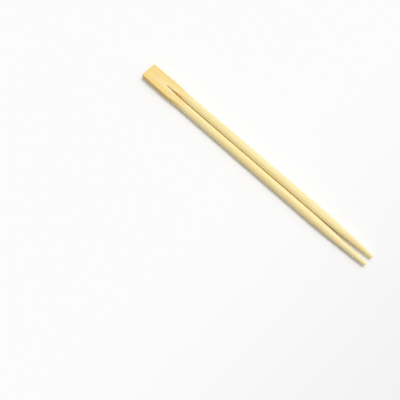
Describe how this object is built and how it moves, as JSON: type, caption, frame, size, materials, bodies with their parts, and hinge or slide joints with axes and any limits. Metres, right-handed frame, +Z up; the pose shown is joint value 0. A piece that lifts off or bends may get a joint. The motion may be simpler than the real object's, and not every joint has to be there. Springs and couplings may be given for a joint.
{
  "type": "bamboo chopsticks",
  "caption": "Disposable bamboo chopsticks: rounded, tapered sticks milled from a flat slab and still joined at the square head, to be split apart along the saw slit before use.",
  "frame": {"origin": "middle of the footprint at the level of the surface the chopsticks lie on", "axes": "+X along the sticks from the head to the tips, +Y across the pair, +Z up, away from the surface they lie on"},
  "size_m": [0.23, 0.0144, 0.0052],
  "materials": {
    "bamboo": "satin"
  },
  "bodies": {
    "root": {"bamboo_chopsticks": "bamboo"}
  },
  "joints": []
}
